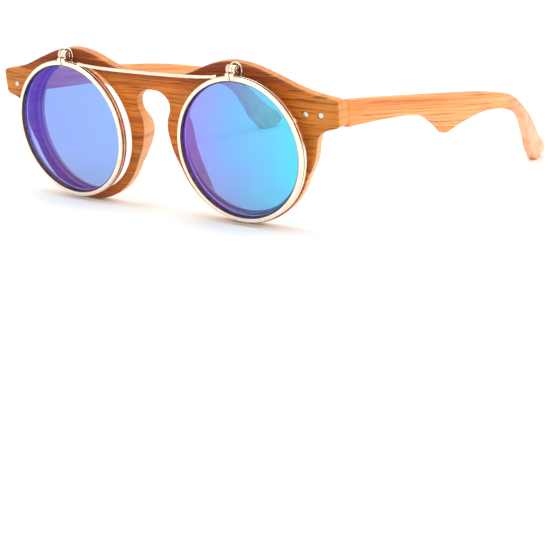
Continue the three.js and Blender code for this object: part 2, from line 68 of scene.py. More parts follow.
FRONT_THICKNESS = 4.0
FRONT_BEND_RADIUS = 690.0
FRONT_HALF_WIDTH = 68.5
EYE_S = 32.6
OPENING_RADIUS = 21.9
RIM_RADIUS = 25.2
BRIDGE_TOP = 20.85
KEYHOLE_TOP = 15.7
CLEAR_LENS_THICKNESS = 1.4
CLEAR_LENS_Y = 1.3
GROOVE_DEPTH = 0.9
GAP = 0.15
RUNNING_GAP = 0.3
ENDPIECE_TOP = 16.9
ENDPIECE_BOTTOM = 8.5
SEAM_Y = 9.2
RIVET_S = (57.5, 62.7)
RIVET_Z = 12.2
RIVET_SHAFT_RADIUS = 0.5
RIVET_SHAFT_HOLE_RADIUS = 0.65
HINGE_X = 62.2
HINGE_Y = 9.3
BARREL_RADIUS = 1.5
BARREL_HEIGHT = 1.9
HINGE_BORE_RADIUS = 0.7
HINGE_SCREW_RADIUS = 0.55
HINGE_SCREW_HEAD_RADIUS = 1.1
SCREW_SLOT_HALF = 0.15
LEAF_THICKNESS = 0.9
LEAF_SINK = 0.5
FRONT_LEAF_S = 59.2
FRONT_LEAF_HALF = 4.4
FRONT_LEAF_HALF_HEIGHT = 1.5 * BARREL_HEIGHT + RUNNING_GAP
TEMPLE_THICKNESS = 3.6
TEMPLE_OUTER_X = 68.4
TEMPLE_SPLAY = math.radians(1.4)
TEMPLE_SLOPE = math.radians(12.6)    # how steeply the temples fall towards their tips
BOW_FROM = 25                    # the temples bow outwards between these two y
BOW_TO = 165
TEMPLE_BOW = [0, 2.5, 5, 5.4, 2.3, -0.8]     # how far out, at even steps between them
FLIP_X = 34.4
FLIP_Y = -1.3
FLIP_Z = 25.3
FLIP_PIN_RADIUS = 0.45
FLIP_PIN_BUTTON_RADIUS = 0.75
KNUCKLE_RADIUS = 1.35
KNUCKLE_HALF = 0.6
EAR_INNER = 0.75
EAR_OUTER = 1.6
FLANGE_RADIUS = 2.4
FLANGE_Z = 24.8
FLANGE_FRONT = -0.6
BRACKET_SCREW_TIP_Y = -0.5
BRACKET_SCREW_RADIUS = 0.35
BRACKET_SCREW_HEAD_RADIUS = 0.85
BRACKET_SCREW_HEAD_Y = 3.65
SUN_X = 35.0
SUN_WRAP = math.radians(1.4)
SUN_RIM_INNER = 21.6
SUN_RIM_OUTER = 23.4
SUN_RIM_FRONT = -3.1
SUN_RIM_BACK = -0.5
SUN_RIM_MIDDLE = (SUN_RIM_FRONT + SUN_RIM_BACK) / 2
SUN_LENS_THICKNESS = 1.0
LUG_FRONT = -3.3
LUG_BOTTOM = 22.4
LUG_TOP = 24.3
RIM_SPLIT = 0.3
WIRE_RADIUS = 0.55
WIRE_Y = -1.9

# ---- dimensions that only the finer bodies have, in millimetres -------------------------------

RIVET_HEAD_RADIUS = 0.92         # the CAD model's head is 0.85
RIVET_HEAD_HOLE_RADIUS = 1.05
RIM_FACE_FROM = 22.1             # radius where the flat front of a rim starts
RIM_GROOVE_DEPTH = 0.4           # the CAD model's groove is a shallower V
RIM_GROOVE_HALF_MOUTH = 0.22
RIM_GROOVE_HALF_FLOOR = 0.12
WIRE_END = 28.5                  # half the wire's length; the CAD model's is 26
WIRE_END_Z = 22.6

CIRCLE_STEPS = 180               # facets round a lens or a rim
SMALL_STEPS = 48                 # facets round pins, barrels and screws
CORNER_STEPS = 3                 # facets in a rounded corner of an outline
SLICE_STEP = 4                   # distance between the cuts that let a body be bent

# ---- where the CAD model stands ---------------------------------------------------------------

joints = {joint["name"]: joint for joint in frame["joints"]}
fold_axis = joints["fold_left"]["axis"]
LEAN = math.atan2(-fold_axis[1], fold_axis[2])
leaning = Matrix.Rotation(LEAN, 4, "X") @ Matrix.Scale(MM, 4)
flip_axis_at = leaning @ Vector((0, FLIP_Y, FLIP_Z))
TO_WORLD = Matrix.Translation(Vector(joints["flip"]["pos_m"]) - flip_axis_at) @ leaning

# ---- outlines ---------------------------------------------------------------------------------


def curve_at(values, along):
    """A Catmull-Rom curve through evenly spaced values; along is 0 at the first, 1 at the next."""
    spans = len(values) - 1
    i = min(int(along), spans - 1)
    t = along - i
    a, b, c, d = values[max(i - 1, 0)], values[i], values[i + 1], values[min(i + 2, spans)]
    start = (c - a) / 2
    end = (d - b) / 2
    cubic = (2 * b - 2 * c + start + end) * t ** 3
    return cubic + (-3 * b + 3 * c - 2 * start - end) * t ** 2 + start * t + b


def smooth_curve(points, steps):
    """Evenly stepped points on a curve through the given points."""
    columns = list(zip(*points))
    spans = len(points) - 1
    places = [step / steps * spans for step in range(steps + 1)]
    return [tuple(curve_at(column, along) for column in columns) for along in places]


def arc(x, z, radius, start, end, steps):
    angles = [start + (end - start) * i / steps for i in range(steps + 1)]
    return [(x + radius * math.cos(angle), z + radius * math.sin(angle)) for angle in angles]


def softened(points, radius, closed=True):
    """The outline with each corner rounded by a short curve. An open outline keeps its ends."""
    result = []
    count = len(points)
    for i, point in enumerate(points):
        if not closed and i in (0, count - 1):
            result.append(tuple(point))
            continue
        corner = Vector(point)
        before = Vector(points[i - 1]) - corner
        after = Vector(points[(i + 1) % count]) - corner
        start = corner + before.normalized() * min(radius, before.length * 0.45)
        end = corner + after.normalized() * min(radius, after.length * 0.45)
        for step in range(CORNER_STEPS + 1):
            t = step / CORNER_STEPS
            result.append(tuple(start * (1 - t) ** 2 + corner * 2 * t * (1 - t) + end * t ** 2))
    return result


# ---- bodies -----------------------------------------------------------------------------------


def closed_up(bm):
    """The body with all its faces turned outwards."""
    bmesh.ops.recalc_face_normals(bm, faces=bm.faces)
    return bm


def turned(profile, steps=SMALL_STEPS, closed=False):
    """A body turned about the Y axis from [radius, y] points."""
    bm = bmesh.new()
    rings = []
    for radius, y in profile:
        if radius == 0:
            rings.append([bm.verts.new((0, y, 0))])
            continue
        rings.append([bm.verts.new((x, y, z)) for x, z in arc(0, 0, radius, 0, math.tau, steps)[:-1]])
    following = rings[1:] + (rings[:1] if closed else [])
    for first, second in zip(rings, following):
        for i in range(steps):
            j = i + 1
            corners = [first[i % len(first)], first[j % len(first)],
                       second[j % len(second)], second[i % len(second)]]
            corners = list(dict.fromkeys(corners))
            if len(corners) > 2:
                bm.faces.new(corners)
    return closed_up(bm)


def disc(radius, front, back, soft, steps=SMALL_STEPS):
    """A round body about the Y axis with softened edges."""
    profile = [(0, front), (radius, front), (radius, back), (0, back)]
    return turned(softened(profile, soft, closed=False), steps)


def rod(axis, radius, start, end, a, b, soft=0.12):
    """A cylinder along x or z between two coordinates; a and b are its other two coordinates."""
    bm = disc(radius, start, end, soft)
    if axis == "x":
        bm.transform(Matrix.Translation((0, a, b)) @ Matrix.Rotation(-math.pi / 2, 4, "Z"))
    else:
        bm.transform(Matrix.Translation((a, b, 0)) @ Matrix.Rotation(math.pi / 2, 4, "X"))
    return closed_up(bm)


def block(low, high, soft=0.1):
    bm = bmesh.new()
    bmesh.ops.create_cube(bm, size=1)
    size = Vector(high) - Vector(low)
    bm.transform(Matrix.Translation((Vector(high) + Vector(low)) / 2) @ Matrix.Diagonal((*size, 1)))
    if soft > 0:
        bmesh.ops.bevel(bm, geom=bm.edges[:], offset=soft, segments=3, affect="EDGES", profile=0.5)
    return closed_up(bm)


def inset_loop(loop, distance):
    """The closed outline moved to its left, into the material, or outwards if negative."""
    result = []
    count = len(loop)
    for i, point in enumerate(loop):
        here = Vector(point)
        before = (here - Vector(loop[i - 1])).normalized()
        after = (Vector(loop[(i + 1) % count]) - here).normalized()
        inward = Vector((-before.y - after.y, before.x + after.x))
        share = inward.length_squared / 2
        result.append(here + inward * (distance / max(share, 0.5)))
    return result


def plate_levels(bottom, top, soft, steps):
    """How far in the outline lies at each height of a plate, as (inset, height)."""
    if soft == 0:
        return [(0, bottom), (0, top)]
    lower = []
    for step in range(steps + 1):
        angle = math.pi / 2 * step / steps
        lower.append((soft * (1 - math.sin(angle)), bottom + soft * (1 - math.cos(angle))))
    return lower + [(inset, top + bottom - height) for inset, height in reversed(lower)]


def plate(loops, bottom, top, soft, steps=4):
    """Outlines in (x, y) given height along z, with rounded edges. The first one is the outer edge,
    counter-clockwise, and any others are holes, clockwise."""
    bm = bmesh.new()
    caps = [[], []]
    for loop in loops:
        rings = []
        for inset, height in plate_levels(bottom, top, soft, steps):
            rings.append([bm.verts.new((x, y, height)) for x, y in inset_loop(loop, inset)])
        for first, second in zip(rings, rings[1:]):
            for i in range(len(loop)):
                bm.faces.new((first[i - 1], first[i], second[i], second[i - 1]))
        caps[0].append(rings[0])
        caps[1].append(rings[-1])
    for cap in caps:
        corners = [vertex for ring in cap for vertex in ring]
        for triangle in tessellate_polygon([[vertex.co for vertex in ring] for ring in cap]):
            bm.faces.new([corners[i] for i in triangle])
    return closed_up(bm)


# Turn a plate's outline and height: FACING puts them at (x, z) and y, SIDEWAYS at (y, z) and x.
FACING = Matrix(((1, 0, 0, 0), (0, 0, 1, 0), (0, 1, 0, 0), (0, 0, 0, 1)))
SIDEWAYS = Matrix(((0, 0, 1, 0), (1, 0, 0, 0), (0, 1, 0, 0), (0, 0, 0, 1)))


def moved(bm, matrix):
    bm.transform(matrix)
    return closed_up(bm)


def sliced_across(bm, point, direction):
    """Adds edges where a plane crosses the body, so that it can be bent there."""
    everything = bm.verts[:] + bm.edges[:] + bm.faces[:]
    bmesh.ops.bisect_plane(bm, geom=everything, plane_co=point, plane_no=direction)


def swept(rings):
    """A body through closed rings of the same number of points, closed at both ends."""
    bm = bmesh.new()
    made = [[bm.verts.new(point) for point in ring] for ring in rings]
    for first, second in zip(made, made[1:]):
        for i in range(len(first)):
            bm.faces.new((first[i - 1], first[i], second[i], second[i - 1]))
    bm.faces.new(made[0])
    bm.faces.new(made[-1])
    return closed_up(bm)


def bent(s, y=0.0):
    """Where a point of the flat front goes when it is bent: s along the front, y behind its face."""
    angle = s / FRONT_BEND_RADIUS
    radius = FRONT_BEND_RADIUS - y
    return Vector((radius * math.sin(angle), FRONT_BEND_RADIUS - radius * math.cos(angle)))


def on_front(bm, s):
    """Puts a body made at the middle of the front at s along it, square to its face."""
    place = Matrix.Translation((*bent(s), 0)) @ Matrix.Rotation(s / FRONT_BEND_RADIUS, 4, "Z")
    return moved(bm, place)


def mirrored(bm):
    copy = bm.copy()
    copy.transform(Matrix.Scale(-1, 4, (1, 0, 0)))
    return closed_up(copy)


# ---- joining and cutting ----------------------------------------------------------------------


def mesh_object(bm, name="part"):
    mesh = bpy.data.meshes.new(name)
    bm.to_mesh(mesh)
    bm.free()
    obj = bpy.data.objects.new(name, mesh)
    bpy.context.scene.collection.objects.link(obj)
    return obj


def remove(obj):
    """Deletes an object together with its mesh."""
    mesh = obj.data
    bpy.data.objects.remove(obj)
    bpy.data.meshes.remove(mesh)


def with_modifiers_applied(obj):
    """The object's evaluated mesh as a bmesh; the object itself is removed."""
    evaluated = obj.evaluated_get(bpy.context.evaluated_depsgraph_get())
    bm = bmesh.new()
    bm.from_mesh(evaluated.to_mesh())
    evaluated.to_mesh_clear()
    remove(obj)
    return bm


def combined(first, others, operation):
    """One closed body from the first and the others, which may overlap one another."""
    base = mesh_object(first)
    tools = [mesh_object(other) for other in others]
    for tool in tools:
        modifier = base.modifiers.new("combine", "BOOLEAN")
        modifier.operation = operation
        modifier.solver = "MANIFOLD"
        modifier.object = tool
    result = with_modifiers_applied(base)
    for tool in tools:
        remove(tool)
    return result


def joined(first, *others):
    return combined(first, others, "UNION")


def cut(first, *others):
    return combined(first, others, "DIFFERENCE")


def laid_together(*bodies):
    """Bodies in one bmesh, as separate shells."""
    result = bmesh.new()
    for body in bodies:
        mesh = bpy.data.meshes.new("shell")
        body.to_mesh(mesh)
        body.free()
        result.from_mesh(mesh)
        bpy.data.meshes.remove(mesh)
    return result


def carved(bm, voxel, smoothing, keep):
    """Overlapping shells as one smooth skin with soft edges, thinned to a share of its faces."""
    obj = mesh_object(bm)
    remesh = obj.modifiers.new("skin", "REMESH")
    remesh.mode = "VOXEL"
    remesh.voxel_size = voxel
    smooth = obj.modifiers.new("smooth", "SMOOTH")
    smooth.factor = 0.5
    smooth.iterations = smoothing
    thin = obj.modifiers.new("thin", "DECIMATE")
    thin.ratio = keep
    return with_modifiers_applied(obj)


# ---- materials --------------------------------------------------------------------------------


DULL_VIOLET = (0.26, 0.10, 0.34, 1)
BROWN_GREY = (0.34, 0.28, 0.24, 1)
LENS_GREY = (0.36, 0.26, 0.265, 1)


def linear(red, green, blue):
    """A colour given as 0-255 sRGB values, as linear light with alpha."""
    values = []
    for value in (red, green, blue):
        share = value / 255
        values.append(share / 12.92 if share <= 0.04045 else ((share + 0.055) / 1.055) ** 2.4)
    return (*values, 1.0)


class Shading:
    """A material and its node tree, with short ways to add nodes. Its position socket gives the
    place on a piece in millimetres, in the front's own upright frame."""

    def __init__(self, name):
        self.material = bpy.data.materials.new(name)
        self.material.use_nodes = True
        self.tree = self.material.node_tree
        self.tree.nodes.clear()
        self.output = self.node("ShaderNodeOutputMaterial")
        coordinates = self.node("ShaderNodeTexCoord")
        upright = self.node("ShaderNodeMapping")
        upright.inputs["Location"].default_value = TO_WORLD.inverted().to_translation()
        upright.inputs["Rotation"].default_value = (-LEAN, 0, 0)
        upright.inputs["Scale"].default_value = (1 / MM, 1 / MM, 1 / MM)
        self.link(coordinates.outputs["Object"], upright.inputs["Vector"])
        self.position = upright.outputs["Vector"]

    def node(self, kind, **settings):
        made = self.tree.nodes.new(kind)
        for key, value in settings.items():
            setattr(made, key, value)
        return made

    def link(self, source, target):
        self.tree.links.new(source, target)

    def feed(self, socket, value):
        if isinstance(value, bpy.types.NodeSocket):
            self.link(value, socket)
        else:
            socket.default_value = value

    def math(self, operation, a, b=0.0):
        made = self.node("ShaderNodeMath", operation=operation)
        self.feed(made.inputs[0], a)
        self.feed(made.inputs[1], b)
        return made.outputs[0]

    def fade(self, value, start, end):
        """0 at start, 1 at end, smooth between them."""
        made = self.node("ShaderNodeMapRange", interpolation_type="SMOOTHSTEP")
        self.feed(made.inputs["Value"], value)
        made.inputs["From Min"].default_value = start
        made.inputs["From Max"].default_value = end
        return made.outputs["Result"]

    def falling(self, value, start, end):
        return self.math("SUBTRACT", 1.0, self.fade(value, start, end))

    def axes(self, vector):
        made = self.node("ShaderNodeSeparateXYZ")
        self.link(vector, made.inputs[0])
        return made.outputs

    def noise(self, vector, detail, roughness=0.5):
        made = self.node("ShaderNodeTexNoise")
        self.link(vector, made.inputs["Vector"])
        made.inputs["Scale"].default_value = 1.0
        made.inputs["Detail"].default_value = detail
        made.inputs["Roughness"].default_value = roughness
        return made.outputs["Fac"]

    def stretched(self, vector, scale, turn=0.0):
        """Coordinates turned about x, then scaled along each axis."""
        turner = self.node("ShaderNodeMapping")
        self.link(vector, turner.inputs["Vector"])
        turner.inputs["Rotation"].default_value = (turn, 0, 0)
        scaler = self.node("ShaderNodeMapping")
        self.link(turner.outputs["Vector"], scaler.inputs["Vector"])
        scaler.inputs["Scale"].default_value = scale
        return scaler.outputs["Vector"]

    def blend(self, factor, first, second):
        made = self.node("ShaderNodeMix", data_type="RGBA")
        self.feed(made.inputs[0], factor)
        self.feed(made.inputs[6], first)
        self.feed(made.inputs[7], second)
        return made.outputs[2]

    def ramp(self, value, stops):
        made = self.node("ShaderNodeValToRGB")
        self.link(value, made.inputs["Fac"])
        elements = made.color_ramp.elements
        while len(elements) < len(stops):
            elements.new(0.5)
        for element, (position, colour) in zip(elements, stops):
            element.position = position
            element.color = colour
        return made.outputs["Color"]

    def bump(self, height, distance):
        """A relief as deep as the distance in millimetres."""
        made = self.node("ShaderNodeBump")
        self.link(height, made.inputs["Height"])
        made.inputs["Distance"].default_value = distance * MM
        made.inputs["Strength"].default_value = 1.0
        return made.outputs["Normal"]

    def shader(self, kind, **inputs):
        made = self.node(kind)
        for key, value in inputs.items():
            self.feed(made.inputs[key.replace("_", " ")], value)
        return made

    def glass(self, tint, reflection, roughness, share):
        """Finishes as a see-through tint with a share of reflection over it."""
        see_through = self.shader("ShaderNodeBsdfTransparent", Color=tint)
        gloss = self.shader("ShaderNodeBsdfGlossy", Color=reflection, Roughness=roughness)
        mix = self.node("ShaderNodeMixShader")
        self.feed(mix.inputs[0], share)
        self.link(see_through.outputs[0], mix.inputs[1])
        self.link(gloss.outputs[0], mix.inputs[2])
        return self.finish(mix)

    def finish(self, shader):
        self.link(shader.outputs[0], self.output.inputs["Surface"])
        return self.material


def grain(s, vector, turn=0.0, length=1.0):
    """Masks of wood grain in level layers, tilted about x by the turn: broad bands, fine lines,
    thin dark streaks and pale threads. The layers waver a little up and down."""
    waver = s.noise(s.stretched(vector, (0.03 / length, 0.03 / length, 0.10), turn), detail=1.0)
    lift = s.node("ShaderNodeCombineXYZ")
    s.link(s.math("MULTIPLY", s.math("SUBTRACT", waver, 0.5), 3.0 / length), lift.inputs["Z"])
    wavering = s.node("ShaderNodeVectorMath", operation="ADD")
    s.link(s.stretched(vector, (1, 1, 1), turn), wavering.inputs[0])
    s.link(lift.outputs[0], wavering.inputs[1])

    def layer(along, across, detail):
        scale = (along / length, along / length, across)
        return s.noise(s.stretched(wavering.outputs[0], scale), detail=detail, roughness=0.62)

    bands = layer(0.018, 0.30, 3.0)
    lines = layer(0.040, 1.35, 3.0)
    streaks = layer(0.10, 2.7, 2.0)
    return bands, s.fade(lines, 0.50, 0.66), s.fade(streaks, 0.56, 0.68), s.falling(lines, 0.34, 0.46)


def wood_paint(s, colour, lines, streaks):
    rough = s.math("ADD", 0.38, s.math("MULTIPLY", streaks, 0.16))
    grooves = s.math("ADD", s.math("MULTIPLY", lines, -0.5), s.math("MULTIPLY", streaks, -0.5))
    shader = s.shader("ShaderNodeBsdfPrincipled", Base_Color=colour, Roughness=rough,
                      Normal=s.bump(grooves, 0.03), Specular_IOR_Level=0.22)
    return s.finish(shader)


def wood_front():
    """Printed wood grain on the front, dark on the brow. Behind the face the sides, the back and
    the pads are paler, and palest below the middle: there a pale peach stands partly for the core's
    colour and partly for painted light from the side, and above it the wood is lightened as
    painted light on the upper faces."""
    s = Shading("wood_front")
    x, y, z = s.axes(s.position)[:3]
    bands, lines, streaks, threads = grain(s, s.position)
    base = s.ramp(bands, [(0.32, linear(158, 72, 16)), (0.46, linear(196, 102, 26)),
                          (0.56, linear(214, 122, 36)), (0.70, linear(172, 82, 20))])
    patches = s.noise(s.stretched(s.position, (0.05, 0.05, 0.09)), detail=2.0)
    base = s.blend(s.math("MULTIPLY", s.fade(patches, 0.50, 0.70), 0.5), base, linear(170, 116, 40))
    side = s.math("ABSOLUTE", x)
    base = s.blend(s.math("MULTIPLY", s.fade(side, 50, 66), 0.6), base, linear(204, 130, 50))
    base = s.blend(s.math("MULTIPLY", s.fade(z, 16.0, 23.0), 0.8), base, linear(116, 38, 8))
    base = s.blend(s.math("MULTIPLY", s.falling(z, -16, 9), 0.42), base, linear(138, 62, 16))
    base = s.blend(s.math("MULTIPLY", threads, 0.4), base, linear(230, 146, 60))
    base = s.blend(s.math("MULTIPLY", lines, 0.6), base, linear(126, 52, 12))
    base = s.blend(s.math("MULTIPLY", streaks, 0.8), base, linear(86, 32, 6))
    # Pale peach behind the face: partly the core's colour, partly painted light from the side.
    core_and_painted_light = s.blend(s.math("MULTIPLY", lines, 0.35), linear(250, 192, 138), linear(214, 140, 84))
    core_and_painted_light = s.blend(s.math("MULTIPLY", streaks, 0.3), core_and_painted_light, linear(204, 124, 72))
    # Painted light: the wood behind the face lightened on the upper faces, as if lit from above.
    painted_light_above = s.blend(0.6, base, linear(250, 172, 102))
    core_and_painted_light = s.blend(s.fade(z, 3, 12), core_and_painted_light, painted_light_above)
    bend = s.math("MULTIPLY", s.math("MULTIPLY", x, x), 0.5 / FRONT_BEND_RADIUS)
    behind = s.fade(s.math("SUBTRACT", y, bend), 0.35, 1.1)
    return wood_paint(s, s.blend(s.math("MULTIPLY", behind, 0.85), base, core_and_painted_light), lines, streaks)


def wood_temple():
    """Paler printed wood on the temples, with long thin grain that fades out at the tips."""
    s = Shading("wood_temple")
    y = s.axes(s.position)[1]
    bands, lines, streaks, threads = grain(s, s.position, TEMPLE_SLOPE, 2.6)
    grained = s.falling(y, 112, 138)
    base = s.ramp(bands, [(0.32, linear(226, 132, 66)), (0.50, linear(246, 168, 102)),
                          (0.66, linear(236, 150, 84))])
    base = s.blend(s.math("MULTIPLY", threads, 0.4), base, linear(255, 196, 130))
    base = s.blend(s.math("MULTIPLY", lines, 0.6), base, linear(204, 100, 46))
    base = s.blend(s.math("MULTIPLY", streaks, 0.7), base, linear(168, 72, 30))
    clouds = s.noise(s.stretched(s.position, (0.1, 0.1, 0.1)), detail=3.0)
    tip = s.blend(s.fade(clouds, 0.35, 0.65), linear(252, 196, 158), linear(240, 170, 124))
    colour = s.blend(grained, tip, base)
    colour = s.blend(s.math("MULTIPLY", s.falling(y, 9, 40), 0.4), colour, linear(232, 130, 46))
    lines = s.math("MULTIPLY", lines, grained)
    return wood_paint(s, colour, lines, s.math("MULTIPLY", streaks, grained))


def metal(name, light, dark, smooth, rough):
    """Polished metal with faint cloudiness and fine rubbing marks."""
    s = Shading(name)
    clouds = s.noise(s.stretched(s.position, (0.5, 0.5, 0.5)), detail=3.0)
    marks = s.noise(s.stretched(s.position, (1.2, 6.0, 14.0)), detail=2.0, roughness=0.7)
    colour = s.blend(s.fade(clouds, 0.35, 0.7), light, dark)
    roughness = s.node("ShaderNodeMapRange")
    s.link(marks, roughness.inputs["Value"])
    roughness.inputs["From Min"].default_value = 0.3
    roughness.inputs["From Max"].default_value = 0.7
    roughness.inputs["To Min"].default_value = smooth
    roughness.inputs["To Max"].default_value = rough
    shader = s.shader("ShaderNodeBsdfPrincipled", Base_Color=colour, Metallic=1.0,
                      Roughness=roughness.outputs["Result"], Normal=s.bump(marks, 0.002))
    return s.finish(shader)


def painted_shade_and_reflection():
    """Painted shade and painted reflection of the wood in the groove round a rim, and painted dark
    reflections on its slope down to the lens and in the dished flanges.
    """
    s = Shading("rim_painted_shade_and_reflection")
    spots = s.noise(s.stretched(s.position, (0.6, 0.6, 0.6)), detail=3.0)
    colour = s.blend(s.fade(spots, 0.35, 0.65), linear(62, 36, 44), linear(96, 62, 56))
    shader = s.shader("ShaderNodeBsdfPrincipled", Base_Color=colour, Metallic=0.4, Roughness=0.6)
    return s.finish(shader)


def clear_lens():
    """Clear plastic. It reflects on the outside only: inside, the Fresnel share would reflect
    everything at a slant."""
    s = Shading("clear_lens")
    smudges = s.noise(s.stretched(s.position, (0.08, 0.08, 0.08)), detail=3.0)
    fresnel = s.node("ShaderNodeFresnel")
    fresnel.inputs["IOR"].default_value = 1.4
    inside = s.node("ShaderNodeNewGeometry").outputs["Backfacing"]
    share = s.math("MULTIPLY", fresnel.outputs[0], s.math("SUBTRACT", 1.0, inside))
    return s.glass((0.97, 0.98, 0.98, 1), (1, 1, 1, 1), s.math("MULTIPLY", smudges, 0.06), share)


def sun_lens_coating(name, centre_x, colours, tints):
    """The mirror coating on the front of a sun lens. Its colour drifts across the lens and turns
    a dull violet at the bottom. Seen from inside the lens it is brown-grey and hardly a mirror."""
    s = Shading(name)
    x, y, z = s.axes(s.position)[:3]
    across = s.math("DIVIDE", s.math("SUBTRACT", x, centre_x), SUN_RIM_INNER)
    clouds = s.noise(s.stretched(s.position, (0.05, 0.05, 0.05)), detail=2.0)
    drift = s.math("ADD", s.math("MULTIPLY", clouds, 0.4), 0.3)
    place = s.math("ADD", s.math("MULTIPLY", across, 0.5), drift)
    coating = s.ramp(place, [(0.05, colours[0]), (0.5, colours[1]), (0.95, colours[2])])
    low = s.falling(s.math("ADD", z, s.math("MULTIPLY", across, 7.0)), -22, -2)
    coating = s.blend(s.math("MULTIPLY", low, 0.55), coating, DULL_VIOLET)
    inside = s.node("ShaderNodeNewGeometry").outputs["Backfacing"]
    coating = s.blend(inside, coating, BROWN_GREY)
    tint = s.blend(inside, s.ramp(place, [(0.05, tints[0]), (0.95, tints[1])]), LENS_GREY)
    share = s.math("SUBTRACT", 0.36, s.math("MULTIPLY", inside, 0.32))
    return s.glass(tint, coating, s.math("MULTIPLY", clouds, 0.08), share)


def sun_lens_back():
    """The back and edge of a sun lens, faintly brown."""
    s = Shading("sun_lens_back")
    smudges = s.noise(s.stretched(s.position, (0.08, 0.08, 0.08)), detail=3.0)
    tint = s.blend(smudges, (0.90, 0.88, 0.86, 1), (0.94, 0.93, 0.92, 1))
    return s.glass(tint, (0.8, 0.72, 0.66, 1), s.math("MULTIPLY", smudges, 0.06), 0.06)


def floor_paint():
    """Plain pale grey, very faintly mottled."""
    s = Shading("floor")
    mottling = s.noise(s.stretched(s.position, (0.004, 0.004, 0.004)), detail=2.0)
    colour = s.blend(mottling, (0.91, 0.91, 0.91, 1), (0.93, 0.93, 0.93, 1))
    return s.finish(s.shader("ShaderNodeBsdfDiffuse", Color=colour))


WOOD_FRONT = wood_front()
WOOD_TEMPLE = wood_temple()
GOLD = metal("pale_gold", linear(252, 240, 222), linear(248, 228, 204), 0.07, 0.17)
STEEL = metal("steel", linear(226, 224, 220), linear(206, 204, 202), 0.14, 0.28)
# Painted shade and dark reflections for the rims' grooves and inner slopes and the flange dishes.
RIM_PAINTED_SHADE_AND_REFLECTION = painted_shade_and_reflection()
CLEAR = clear_lens()
LENS_BACK = sun_lens_back()
COATING = {
    "right": sun_lens_coating(
        "sun_lens_right", -SUN_X, [(0.12, 0.06, 1, 1), (0.13, 0.09, 1, 1), (0.15, 0.17, 1, 1)],
        [(0.46, 0.70, 0.96, 1), (0.42, 0.72, 0.96, 1)]),
    "left": sun_lens_coating(
        "sun_lens_left", SUN_X, [(0.30, 0.06, 1, 1), (0.15, 0.22, 1, 1), (0.12, 0.60, 1, 1)],
        [(0.42, 0.56, 0.96, 1), (0.14, 0.82, 1, 1)]),
}

# ---- the front --------------------------------------------------------------------------------

# Half of the front's outer edge as (x, z) points.
BROW_EDGE = [(10.5, BRIDGE_TOP), (16.3, 22.5), (24.2, 25.6), (32, 26.95), (40, 25.8), (48, 23.0),
             (56, 19.8), (62.5, 18.0), (67.8, ENDPIECE_TOP + 0.2)]
ENDPIECE_END = [(FRONT_HALF_WIDTH, ENDPIECE_TOP - 0.6), (FRONT_HALF_WIDTH, ENDPIECE_BOTTOM + 0.6),
                (FRONT_HALF_WIDTH - 0.8, ENDPIECE_BOTTOM - 0.2)]
ENDPIECE_UNDERSIDE = [(66, 7.9), (63.2, 7.0), (61.3, 5.2), (60.5, 2.5), (59.9, -0.9), (58.6, -4.4)]
KEYHOLE_EDGE = [(6.8, -4.6), (5.7, -0.6), (5.1, 3.2), (5.7, 6.8), (6.8, 9.6), (6.5, 12.6),
                (3.6, 15.1)]
RIM_FROM = math.radians(-21)     # the round rim leaves the endpiece here
RIM_TO = math.radians(-158)      # and meets the nose gap here

# Level sections of the left nose pad: height, nose side and lens side x, and how far back.
PAD_SECTIONS = [(-18.5, 17.6, 19.4, 4.2), (-16, 14.7, 17.5, 6.0), (-12.5, 12.4, 15.0, 7.4),
                (-8, 9.6, 12.8, 8.1), (-3.5, 7.0, 11.4, 8.2), (1, 5.5, 10.7, 8.1),
                (5, 5.6, 10.9, 7.0), (8.5, 6.9, 11.2, 4.6)]


def rim_point(angle):
    return EYE_S + RIM_RADIUS * math.cos(angle), RIM_RADIUS * math.sin(angle)


def front_outline():
    end = softened([BROW_EDGE[-1], *ENDPIECE_END, ENDPIECE_UNDERSIDE[0]], 0.7, closed=False)
    half = smooth_curve(BROW_EDGE, 80) + end[1:-1]
    half += smooth_curve([*ENDPIECE_UNDERSIDE, rim_point(RIM_FROM)], 36)
    half += arc(EYE_S, 0, RIM_RADIUS, RIM_FROM, RIM_TO, 90)[1:]
    half += smooth_curve([rim_point(RIM_TO), *KEYHOLE_EDGE, (0, KEYHOLE_TOP)], 60)[1:]
    other = [(-x, z) for x, z in half[:-1]]
    return list(reversed(half + other[::-1]))


def bent_plate():
    holes = [arc(side * EYE_S, 0, OPENING_RADIUS, 0, -math.tau, CIRCLE_STEPS)[:-1]
             for side in (-1, 1)]
    bm = moved(plate([front_outline(), *holes], 0, FRONT_THICKNESS, 0.45), FACING)
    for x in range(-68, 72, SLICE_STEP):
        sliced_across(bm, (x, 0, 0), (1, 0, 0))
    for vertex in bm.verts:
        vertex.co.xy = bent(vertex.co.x, vertex.co.y)
    return closed_up(bm)


def endpiece_block():
    """The extra depth of the left endpiece, tapering to the hinge side."""
    prism = moved(plate([front_outline()], -5, 15, 0), FACING)
    outer = FRONT_HALF_WIDTH + 3
    plan = [(63.4, 5.5), (outer, 5.5), (outer, SEAM_Y), (64.5, SEAM_Y), (64.1, 7.4)]
    side = [(-6, 0), (20, 0), (20, 13.2), (SEAM_Y, 15.9), (4, 17.1), (-6, 17.1)]
    slanted = moved(plate([side], 50, outer, 0), SIDEWAYS)
    return combined(prism, [plate([plan], 0, 30, 0), slanted], "INTERSECT")


def nose_pad():
    rings = []
    for z, nose, lens, depth in smooth_curve(PAD_SECTIONS, 42):
        inset = (lens - nose) / 6
        corners = [(nose, 2), (lens, 2), (lens, depth - 1), (lens - inset, depth - 0.3),
                   ((nose + lens) / 2, depth), (nose + inset, depth - 0.4), (nose + 0.1, depth - 1.6)]
        rings.append([(x, y, z) for x, y in softened(corners, 0.8)])
    return cut(swept(rings), on_front(disc(OPENING_RADIUS, -5, 20, 0, CIRCLE_STEPS), EYE_S))


